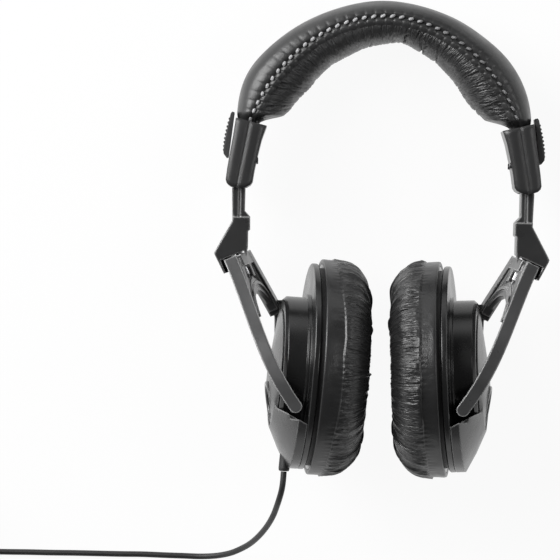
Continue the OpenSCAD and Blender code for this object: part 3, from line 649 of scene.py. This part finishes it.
def stitch_points():
    """Stitches of both seams: plump beads of thread that lean a little across the seam line."""
    a = np.linspace(*BAND_ENDS, 3000)
    length = seam_length(a)
    starts = np.arange(1.6, length[-1] / STITCH_PITCH - 1.6, 1.0) * STITCH_PITCH
    half_length, half_width = 1.18, 0.68
    u = np.linspace(-1, 1, 11)[None, :, None]
    v = np.linspace(0, 2 * math.pi, 10, endpoint=False)[None, None, :]
    draw = np.random.RandomState(3)
    rods = []
    for face in (1, -1):
        shift, turn = draw.uniform(-1, 1, (2, len(starts), 1, 1))
        along = starts[:, None, None] + 0.5 * STITCH_PITCH + 0.12 * shift + half_length * u
        angle = np.interp(along, length, a)
        _, seam, _, b, _ = band_measures(angle)
        arch = np.sqrt(np.maximum(0, 1 - u**2))
        thick = half_width * np.maximum(0.2, arch**0.6)
        lean = -(0.3 + 0.12 * turn) * u
        r = seam + 0.3 + lean + thick * np.cos(v)
        z = face * (b - 0.7 + 0.7 * arch + 0.85 * thick * np.sin(v))
        rods.append(on_band(angle, r, z))
    return np.concatenate(rods)


def rods_mesh(name, rods):
    """One mesh of many closed rods, given as rods by rings by points round each ring."""
    count, rows, columns = rods.shape[:3]
    faces, places = grid_faces(rows, columns, False, True)
    offset = (np.arange(count) * rows * columns)[:, None, None]
    quads = (faces[None] + offset).reshape(-1, 4)
    uv = np.broadcast_to(places[None], (count, *places.shape)).reshape(-1, 2)
    first = np.arange(columns)[::-1][None] + offset[:, 0]
    last = (rows - 1) * columns + np.arange(columns)[None] + offset[:, 0]
    ends = np.concatenate([first, last])
    uv = np.concatenate([uv, np.zeros((ends.size, 2))])
    return put_mesh(name, rods.reshape(-1, 3), [quads, ends], uv)


def sew_headband():
    """The headband's cover, its pad and the stitches of both seams."""
    cover = surface("headband_cover", laid(cover_points()), False, True, capped=True, sharp=50)
    finish_piece(cover, "headband", MATERIALS["band_leather"], ["top_cover"])
    pad = surface("headband_pad", laid(head_pad_points()), False, True, capped=True,
                  scale=(0.27, 0.5))
    finish_piece(pad, "headband", MATERIALS["head_pad_leather"], ["head_pad"])
    stitches = rods_mesh("headband_stitches", laid(stitch_points()))
    finish_piece(stitches, "headband", MATERIALS["thread"])


# ---------- ear pads ----------
# Section of a pad as (radius, x): the lip over the plate, the rim, the crown and the inside
PAD_SECTION = [
    (30.5, -7.6), (37, -6.4), (42.6, -5.3), (44.6, -4.4), (45.9, -4.35), (46.5, -5.1),
    (46.35, -8), (46.15, -10.5), (46.05, -13), (45.9, -15.2), (45.1, -17.6), (43.5, -19.9),
    (41.2, -22.0), (38.4, -23.7), (35, -24.7), (31, -24.9), (27.2, -24.2), (24, -22.2),
    (21.9, -19), (21.1, -15), (21.5, -11.6), (23.4, -9.0), (26.6, -7.8)]
# Points that are made on each span of the section, and the section's point at the rim
PAD_STEPS = 7
PAD_RIM = 4
# Width of the smooth band at the top and bottom of each pad, and its gain at the near and far side
BAND_WIDTH = {"left": (4.3, 3.6), "right": (5.4, 0.9)}
# Puckers of the seam round each pad, and deep cuts beside the drawn ones as shares of a turn
SEAM_PUCKERS = 118
EXTRA_CUTS = {"left": (0.166,), "right": ()}


def ear_pad_points(side_name, count=860):
    """Cushion turned about the cup's axis: a smooth band, a sunk seam and a full, pleated crown.

    The crown's pleats are valleys of three sizes that run along the cup's axis, deepest by the
    seam, with a few deep cuts and a slow swell and sink between them.
    """
    seed = 40 + SIDES[side_name]
    section = through(PAD_SECTION[-2:] + PAD_SECTION + PAD_SECTION[:3], PAD_STEPS)
    section = section[2 * PAD_STEPS:-2 * PAD_STEPS - 1]
    s = np.concatenate([[0], np.cumsum(np.linalg.norm(np.diff(section, axis=0), axis=1))])
    points, a = about_cup_axis(section, count)
    span = 2 * math.pi * EAR_PAD_R
    round_ = a * EAR_PAD_R + 0 * s[:, None]

    def valleys(step, long, offset, width):
        """Creases about step apart round the pad and about long along its axis."""
        number_round = round(span / step)
        wander = 0.22 * soft_noise(round_ / span * 50, past / 9, seed + offset + 50, 50)
        place = round_ / span * number_round + wander
        return creases(place, past / long, seed + offset, number_round, width)

    narrow, gain = BAND_WIDTH[side_name]
    uneven = soft_noise(a / (2 * math.pi) * 30, 0 * a, seed + 9, 30)
    width = narrow + gain * np.abs(np.sin(a)) ** 1.5 + 0.35 * uneven
    past = s[:, None] - s[PAD_RIM * PAD_STEPS] - 1.2 - width
    crown = ease((past + 0.2) / 2) * ease((46 - past) / 8)
    near = np.exp(-np.maximum(past, 0) / 8)
    pleats = 0.6 * valleys(3.4, 40, 1, 0.45) * (0.4 + 0.6 * near)
    pleats = pleats + 0.38 * valleys(1.9, 17, 2, 0.7) * (0.55 + 0.45 * near)
    pleats = pleats + 0.16 * valleys(1.2, 8, 3, 0.8)
    cuts = 0
    draw = np.random.RandomState(seed)
    places = (draw.uniform(0, 1, 7) + np.arange(7)) / 7
    for place in [*places, *EXTRA_CUTS[side_name]]:
        gap = (round_ - place * span - 0.5 * np.sin(past / 5) + span / 2) % span - span / 2
        cuts = cuts + 0.9 * np.exp(-((gap / 0.5) ** 2)) * ease((past - 1) / 5)
    full = soft_noise(round_ / span * 22, past / 16, seed + 6, 22)
    amount = crown * (0.3 * full - pleats - cuts)
    slip = soft_noise(a / (2 * math.pi) * 40, 0 * a, seed, 40)
    pull = 0.5 + 0.5 * np.cos(round_ / span * 2 * math.pi * SEAM_PUCKERS + 1.4 * slip)
    tuck = np.exp(-np.maximum(past, 0) / 2.4) * np.exp(-((np.minimum(past, 0) / 0.22) ** 2))
    ragged = soft_noise(round_ / span * 70, 0 * past, seed + 8, 70)
    amount = amount - (0.65 + 0.15 * pull + 0.3 * ragged) * tuck
    slack = ease((past + width) / 3) * ease(-past / 1.0)
    ripple = soft_noise(round_ / span * 90, past / 6, seed + 7, 90)
    amount = amount + slack * (0.12 * ripple - 0.16 * pull * np.exp(past / 1.6))
    return points + normals(points, True, True) * amount[..., None], np.stack([past, round_], -1)


def upholster(side_name):
    """One ear pad, set on the floor."""
    side = SIDES[side_name]
    points, skin = ear_pad_points(side_name)
    points = pressed(laid(from_cup(points, side)))
    pad = surface(f"{side_name}_ear_cushion", points, True, True, flip=side < 0, skin=skin)
    finish_piece(pad, f"{side_name}_cup", MATERIALS["pad_leather"],
                 [f"{side_name}_ear_pad"])


# ---------- cups ----------
def turn_cup(side_name):
    """Turned parts of one cup: the housing with its flange and step, and the pad's plate."""
    side, body = SIDES[side_name], f"{side_name}_cup"
    wall = 1.8
    housing = rounded([
        (31.5, -2.8), (43.9, -2.8), (FLANGE_R, -2.3), (FLANGE_R, -0.4), (43.9, 0),
        (HOUSING_R + 1.4, 0), (HOUSING_R + 1.3, 1.3), (HOUSING_R, 1.5),
        (HOUSING_R, HOUSING_H - 1.5), (HOUSING_R - 1.5, HOUSING_H), (8, HOUSING_H),
        (8, HOUSING_H - wall),
        (HOUSING_R - wall, HOUSING_H - wall), (HOUSING_R - wall, 0)], 0.3)
    piece = lathe(f"{side_name}_driver_housing", housing, side)
    finish_piece(piece, body, MATERIALS["cup_plastic"],
                 [f"{side_name}_cup_housing"])
    rim = rounded([(30, PLATE_X), (45.9, PLATE_X), (46.3, PLATE_X + 0.5), (46.2, PLATE_X + 1.2),
                   (45.7, PLATE_X + 1.6), (30, PLATE_X + 1.6)], 0.45, 6)
    piece = lathe(f"{side_name}_pad_rim", rim, side)
    finish_piece(piece, body, MATERIALS["gloss_plastic"],
                 [f"{side_name}_pad_plate"])


# ---------- cord ----------
CORD_ROUTE = [
    (-39.99, -99.27, 55.86), (-40.2, -103.2, 56.6), (-40.7, -107.2, 56.6), (-41.6, -111.3, 54.9),
    (-42.7, -115.8, 51.2), (-44.0, -120.7, 45.9), (-45.9, -125.8, 39.9), (-48.2, -130.6, 33.6),
    (-51.0, -135.3, 27.1), (-54.2, -139.5, 20.8), (-58.0, -143.1, 15.0), (-62.4, -146.2, 9.9),
    (-67.3, -148.3, 5.8), (-71.9, -149.4, 3.3), (-76.8, -149.9, 1.9), (-83.1, -149.9, 1.4),
    (-91, -149.8, 1.4), (-101, -149.6, 1.4), (-111, -149.7, 1.4), (-121, -149.7, 1.4),
    (-131, -149.7, 1.4), (-141, -149.8, 1.4), (-151, -149.8, 1.4), (-161, -149.9, 1.4),
    (-172, -149.9, 1.4), (-182, -149.9, 1.6), (-192, -149.8, 1.95)]
TAIL_ROUTE = [
    (-216.7, -117.6, 7.9), (-216.6, -112.6, 6.1), (-216.4, -106.6, 4.6), (-216.2, -100.6, 4.1),
    (-216, -95.65, 4)]
# Points that are made on each span of the routes
CORD_STEPS = 5
COIL_CENTRE = (-197, -130.2)
COIL_INNER, COIL_OUTER = 9.35, 19.65
COIL_LAYERS = 4
COIL_TURNS = 4
COIL_BOTTOM = 1.95
COIL_STEPS = 40  # points on each turn
# Share of a turn in which the cord climbs onto the next layer
COIL_CLIMB = 1.25 / 3


def coil_points():
    """Turns of the coil: spirals in and out in four layers, each climbing onto the next."""
    turn, radius, height = [], [], []
    start = 0.0
    for layer in range(COIL_LAYERS):
        t = np.arange(0, COIL_TURNS, 1 / COIL_STEPS)
        ends = (COIL_OUTER, COIL_INNER) if layer % 2 == 0 else (COIL_INNER, COIL_OUTER)
        turn.append(start + t)
        radius.append(ends[0] + (ends[1] - ends[0]) * t / COIL_TURNS)
        height.append(0 * t + COIL_BOTTOM + layer * CORD_D)
        start += COIL_TURNS
        if layer < COIL_LAYERS - 1:
            t = np.arange(0, COIL_CLIMB, 1 / COIL_STEPS)
            turn.append(start + t)
            radius.append(0 * t + ends[1])
            height.append(COIL_BOTTOM + (layer + ease(t / COIL_CLIMB)) * CORD_D)
            start += COIL_CLIMB
    turn, radius, height = (np.concatenate(part) for part in (turn, radius, height))
    a = np.radians(270) - 2 * math.pi * turn
    x, y = COIL_CENTRE
    return np.stack([x + radius * np.cos(a), y + radius * np.sin(a), height], -1)


def cord_line():
    """The whole cord: the drop and run to the coil, the coil's turns and the tail to the plug."""
    coil = coil_points()
    first = through(CORD_ROUTE, CORD_STEPS)[:-1]
    last = through([tuple(coil[-1])] + TAIL_ROUTE, CORD_STEPS)[1:]
    return np.concatenate([first, coil[2:], last])


def tube(name, line, radius, sides=14):
    """Round tube along a line, with rings square to it whose first axis lies nearly level."""
    nearly_up = [0.03, 0.02, 1.0]
    ahead = np.gradient(line, axis=0)
    ahead /= np.linalg.norm(ahead, axis=1, keepdims=True)
    across = np.cross(ahead, nearly_up)
    across /= np.linalg.norm(across, axis=1, keepdims=True)
    up = np.cross(across, ahead)
    a = np.linspace(0, 2 * math.pi, sides, endpoint=False)[None, :, None]
    ring = line[:, None] + radius * (across[:, None] * np.cos(a) + up[:, None] * np.sin(a))
    return surface(name, ring / 1000, False, True, capped=True, flip=True)


def lay_cord():
    """The cord with its coil, which carries the plug and the tie."""
    line = cord_line()
    piece = tube("headphone_cord", line, CORD_D / 2)
    finish_piece(piece, "left_cup", MATERIALS["cord_rubber"], ["cord", "cord_coil"])


# ---------- moulded parts from the frame ----------
# Width of the rounded edges by kind of part, and of all others
BEVELS = {
    "sleeve_outer": 0.5, "sleeve_inner": 0.5, "grip_cover": 0.25, "slider_arm": 0.45, "fork": 0.3,
    "port_ring": 0.15, "port_disc": 0.1, "plug_grip": 0.2, "cord_tie": 0.15, "strain_relief": 0.2,
    "cup_cover": 0.3,
}
PLAIN_BEVEL = 0.12
# Parts whose moulded surface differs from the plain finish of their slot
FINER = {"sleeve_outer": "sleeve_plastic", "sleeve_inner": "sleeve_plastic",
         "slider_arm": "arm_plastic"}


def round_edges(piece, width):
    """Modifiers that join a node's loose triangles, clear its flat faces and round its edges."""
    piece.data.polygons.foreach_set("use_smooth", np.ones(len(piece.data.polygons), bool))
    join = piece.modifiers.new("join", "WELD")
    join.merge_threshold = 1e-5
    flat = piece.modifiers.new("flat", "DECIMATE")
    flat.decimate_type = "DISSOLVE"
    flat.angle_limit = math.radians(0.6)
    edge = piece.modifiers.new("edge", "BEVEL")
    edge.width = width / 1000
    edge.segments = 2
    edge.limit_method = "ANGLE"
    edge.angle_limit = math.radians(28)
    edge.harden_normals = True
    edge.use_clamp_overlap = True
    lie = piece.modifiers.new("lie", "WEIGHTED_NORMAL")
    lie.mode = "FACE_AREA"
    lie.keep_sharp = True


def finish_frame():
    """Finishes for all the nodes, and rounded edges for those that show."""
    slots = {part["node"]: part["material_slot"] for part in frame["record"]["subparts"]}
    for node, piece in frame["nodes"].items():
        piece.data.materials.clear()
        kind = node.split("_", 1)[1] if node.startswith(("left_", "right_")) else node
        piece.data.materials.append(MATERIALS[FINER.get(kind, slots[node])])
        if not piece.hide_render:
            round_edges(piece, BEVELS.get(kind, PLAIN_BEVEL))


# ---------- stage ----------
CAMERA_PLACE = (-43.45, 36.8, 3000.0)
CAMERA_ROLL = 1.28
CAMERA_LENS = 447.6
# Lamps by place, size and share of the key lamp's power; all aim at one point
LAMP_AIM = (0, 0, 0.04)
LAMPS = {
    "key": ((-0.75, 0.62, 0.95), 0.8, 1.0),
    "side": ((-1.15, 0.75, 0.5), 1.0, 1.6),
    "fill": ((0.7, 0.25, 0.95), 0.5, 0.2),
}


def set_camera():
    """Camera square to the upright plane, a little turned about its own view."""
    at = laid([CAMERA_PLACE])[0]
    roll = math.radians(CAMERA_ROLL)
    c, s = math.cos(roll), math.sin(roll)
    axes = turned(np.array([[c, s, 0], [-s, c, 0], [0, 0, 1.0]]), 0, -LYING)
    data = bpy.data.cameras.new("camera")
    data.lens, data.sensor_width = CAMERA_LENS, 36
    data.clip_start, data.clip_end = 0.05, 20
    camera = bpy.data.objects.new("camera", data)
    camera.matrix_world = Matrix.Translation(Vector(at)) @ Matrix(axes.T.tolist()).to_4x4()
    bpy.context.scene.collection.objects.link(camera)
    bpy.context.scene.camera = camera


def add_lamps(look):
    """Soft round lamps: a key from the upper left, a low one beside it, a weak one on the right."""
    for name, (place, size, share) in LAMPS.items():
        data = bpy.data.lights.new(name, "AREA")
        data.shape, data.size, data.energy = "DISK", size, share * look.key
        lamp = bpy.data.objects.new(name, data)
        away = Vector(place) - Vector(LAMP_AIM)
        facing = away.to_track_quat("Z", "Y").to_matrix().to_4x4()
        lamp.matrix_world = Matrix.Translation(Vector(place)) @ facing
        bpy.context.scene.collection.objects.link(lamp)


def make_floor(look):
    """Pale floor: plain for light that bounces, white for the camera and for reflections."""
    half = 3.0
    points = np.array([[-half, -half, 0], [half, -half, 0], [half, half, 0], [-half, half, 0]])
    floor = put_mesh("floor", points, [np.array([[0, 1, 2, 3]])])
    material = bpy.data.materials.new("pale floor")
    material.use_nodes = True
    nodes, links = material.node_tree.nodes, material.node_tree.links
    plain = nodes["Principled BSDF"]
    plain.inputs["Base Color"].default_value = (look.floor, look.floor, look.floor, 1)
    plain.inputs["Roughness"].default_value = 0.9
    plain.inputs["Specular IOR Level"].default_value = 0.0
    glow = nodes.new("ShaderNodeEmission")
    glow.inputs["Strength"].default_value = 1.0
    path = nodes.new("ShaderNodeLightPath")
    either = nodes.new("ShaderNodeMath")
    either.operation = "MAXIMUM"
    links.new(path.outputs["Is Camera Ray"], either.inputs[0])
    links.new(path.outputs["Is Glossy Ray"], either.inputs[1])
    part = nodes.new("ShaderNodeMath")
    part.operation = "MULTIPLY"
    part.inputs[1].default_value = look.floor_glow
    links.new(either.outputs[0], part.inputs[0])
    mix = nodes.new("ShaderNodeMixShader")
    links.new(part.outputs[0], mix.inputs[0])
    links.new(plain.outputs[0], mix.inputs[1])
    links.new(glow.outputs[0], mix.inputs[2])
    links.new(mix.outputs[0], nodes["Material Output"].inputs[0])
    floor.data.materials.append(material)


def light_world(look):
    """Studio light all round: bright walls low down and a darker ceiling."""
    world = bpy.data.worlds.new("studio")
    bpy.context.scene.world = world
    world.use_nodes = True
    nodes, links = world.node_tree.nodes, world.node_tree.links
    sky = nodes["Background"]
    where = nodes.new("ShaderNodeTexCoord")
    split = nodes.new("ShaderNodeSeparateXYZ")
    links.new(where.outputs["Generated"], split.inputs[0])
    ramp = nodes.new("ShaderNodeMapRange")
    ramp.interpolation_type = "SMOOTHSTEP"
    for key, value in (("From Min", 0.02), ("From Max", 0.5), ("To Min", look.wall),
                       ("To Max", look.ceiling)):
        ramp.inputs[key].default_value = value
    links.new(split.outputs["Z"], ramp.inputs["Value"])
    links.new(ramp.outputs["Result"], sky.inputs["Strength"])
    sky.inputs["Color"].default_value = (1, 1, 1, 1)


# ---------- add-on ----------
def number(name, text, default, low=0.0, high=1.0):
    return bpy.props.FloatProperty(name=name, description=text, default=default, min=low, max=high)


class HeadphoneLook(bpy.types.PropertyGroup):
    """Tones of the finishes and of the stage"""
    leather: number("Leatherette", "Tone of the headband's cover", 0.021)
    pad: number("Pads", "Tone of the head pad and the ear pads", 0.014)
    plastic: number("Plastic", "Tone of the sleeves, arms and cups", 0.016)
    fork: number("Forks", "Tone of the forks", 0.036)
    # Tone of the painted highlight along the moulded parts' sharp edges
    edge: number("Edges", "Tone of the moulded parts' painted edge highlights", 0.3)
    grip: number("Grips", "Tone of the ribbed grips", 0.03)
    cord: number("Cord", "Tone of the cord's jacket", 0.012)
    thread: number("Thread", "Tone of the sewing thread", 0.5)
    floor: number("Floor", "Tone of the floor", 0.85)
    floor_glow: number("Floor glow", "Share of the floor that shows plain white", 0.93)
    wall: number("Wall light", "Strength of the light from the sides", 1.3, 0, 5)
    ceiling: number("Ceiling light", "Strength of the light from above", 0.1, 0, 5)
    key: bpy.props.FloatProperty(name="Key light", description="Power of the soft key lamp",
                                 default=12.0, min=0, max=200, unit="POWER")


class HEADPHONES_OT_stage(bpy.types.Operator):
    """Sets the camera, the floor and the lights"""
    bl_idname = "headphones.stage"
    bl_label = "Stage"

    def execute(self, context):
        look = context.scene.headphone_look
        set_camera()
        make_floor(look)
        light_world(look)
        add_lamps(look)
        return {"FINISHED"}


class HEADPHONES_OT_finishes(bpy.types.Operator):
    """Makes all the finishes"""
    bl_idname = "headphones.finishes"
    bl_label = "Finishes"

    def execute(self, context):
        MATERIALS.update(make_materials(context.scene.headphone_look))
        return {"FINISHED"}


class HEADPHONES_OT_cord(bpy.types.Operator):
    """Lays the cord from the left cup to its coil and plug"""
    bl_idname = "headphones.cord"
    bl_label = "Cord"

    def execute(self, context):
        lay_cord()
        return {"FINISHED"}


class HEADPHONES_OT_headband(bpy.types.Operator):
    """Sews the headband's cover and pad"""
    bl_idname = "headphones.headband"
    bl_label = "Headband"

    def execute(self, context):
        sew_headband()
        return {"FINISHED"}


class HEADPHONES_OT_cups(bpy.types.Operator):
    """Turns the cups' housings and the pads' plates"""
    bl_idname = "headphones.cups"
    bl_label = "Cups"

    def execute(self, context):
        for side_name in SIDES:
            turn_cup(side_name)
        return {"FINISHED"}


class HEADPHONES_OT_cushions(bpy.types.Operator):
    """Upholsters both ear pads"""
    bl_idname = "headphones.cushions"
    bl_label = "Ear pads"

    def execute(self, context):
        for side_name in SIDES:
            upholster(side_name)
        return {"FINISHED"}


class HEADPHONES_OT_moulded(bpy.types.Operator):
    """Gives the moulded parts their rounded edges and finishes"""
    bl_idname = "headphones.moulded"
    bl_label = "Moulded parts"

    def execute(self, context):
        finish_frame()
        return {"FINISHED"}


class HEADPHONES_PT_panel(bpy.types.Panel):
    """Lists the steps and the tones"""
    bl_idname = "HEADPHONES_PT_panel"
    bl_label = "Headphones"
    bl_space_type = "VIEW_3D"
    bl_region_type = "UI"
    bl_category = "Headphones"

    def draw(self, context):
        look = context.scene.headphone_look
        for name in HeadphoneLook.__annotations__:
            self.layout.prop(look, name)
        for step in STEPS:
            self.layout.operator(step.bl_idname)


STEPS = (HEADPHONES_OT_stage, HEADPHONES_OT_finishes, HEADPHONES_OT_cord, HEADPHONES_OT_headband,
         HEADPHONES_OT_cups, HEADPHONES_OT_cushions, HEADPHONES_OT_moulded)
CLASSES = (HeadphoneLook, *STEPS, HEADPHONES_PT_panel)


def register():
    for each in CLASSES:
        bpy.utils.register_class(each)
    bpy.types.Scene.headphone_look = bpy.props.PointerProperty(type=HeadphoneLook)


def unregister():
    del bpy.types.Scene.headphone_look
    for each in reversed(CLASSES):
        bpy.utils.unregister_class(each)


def main():
    register()
    bpy.context.scene.view_settings.view_transform = "Standard"
    for step in STEPS:
        getattr(bpy.ops.headphones, step.bl_idname.split(".")[1])()


if __name__ == "__main__":
    main()
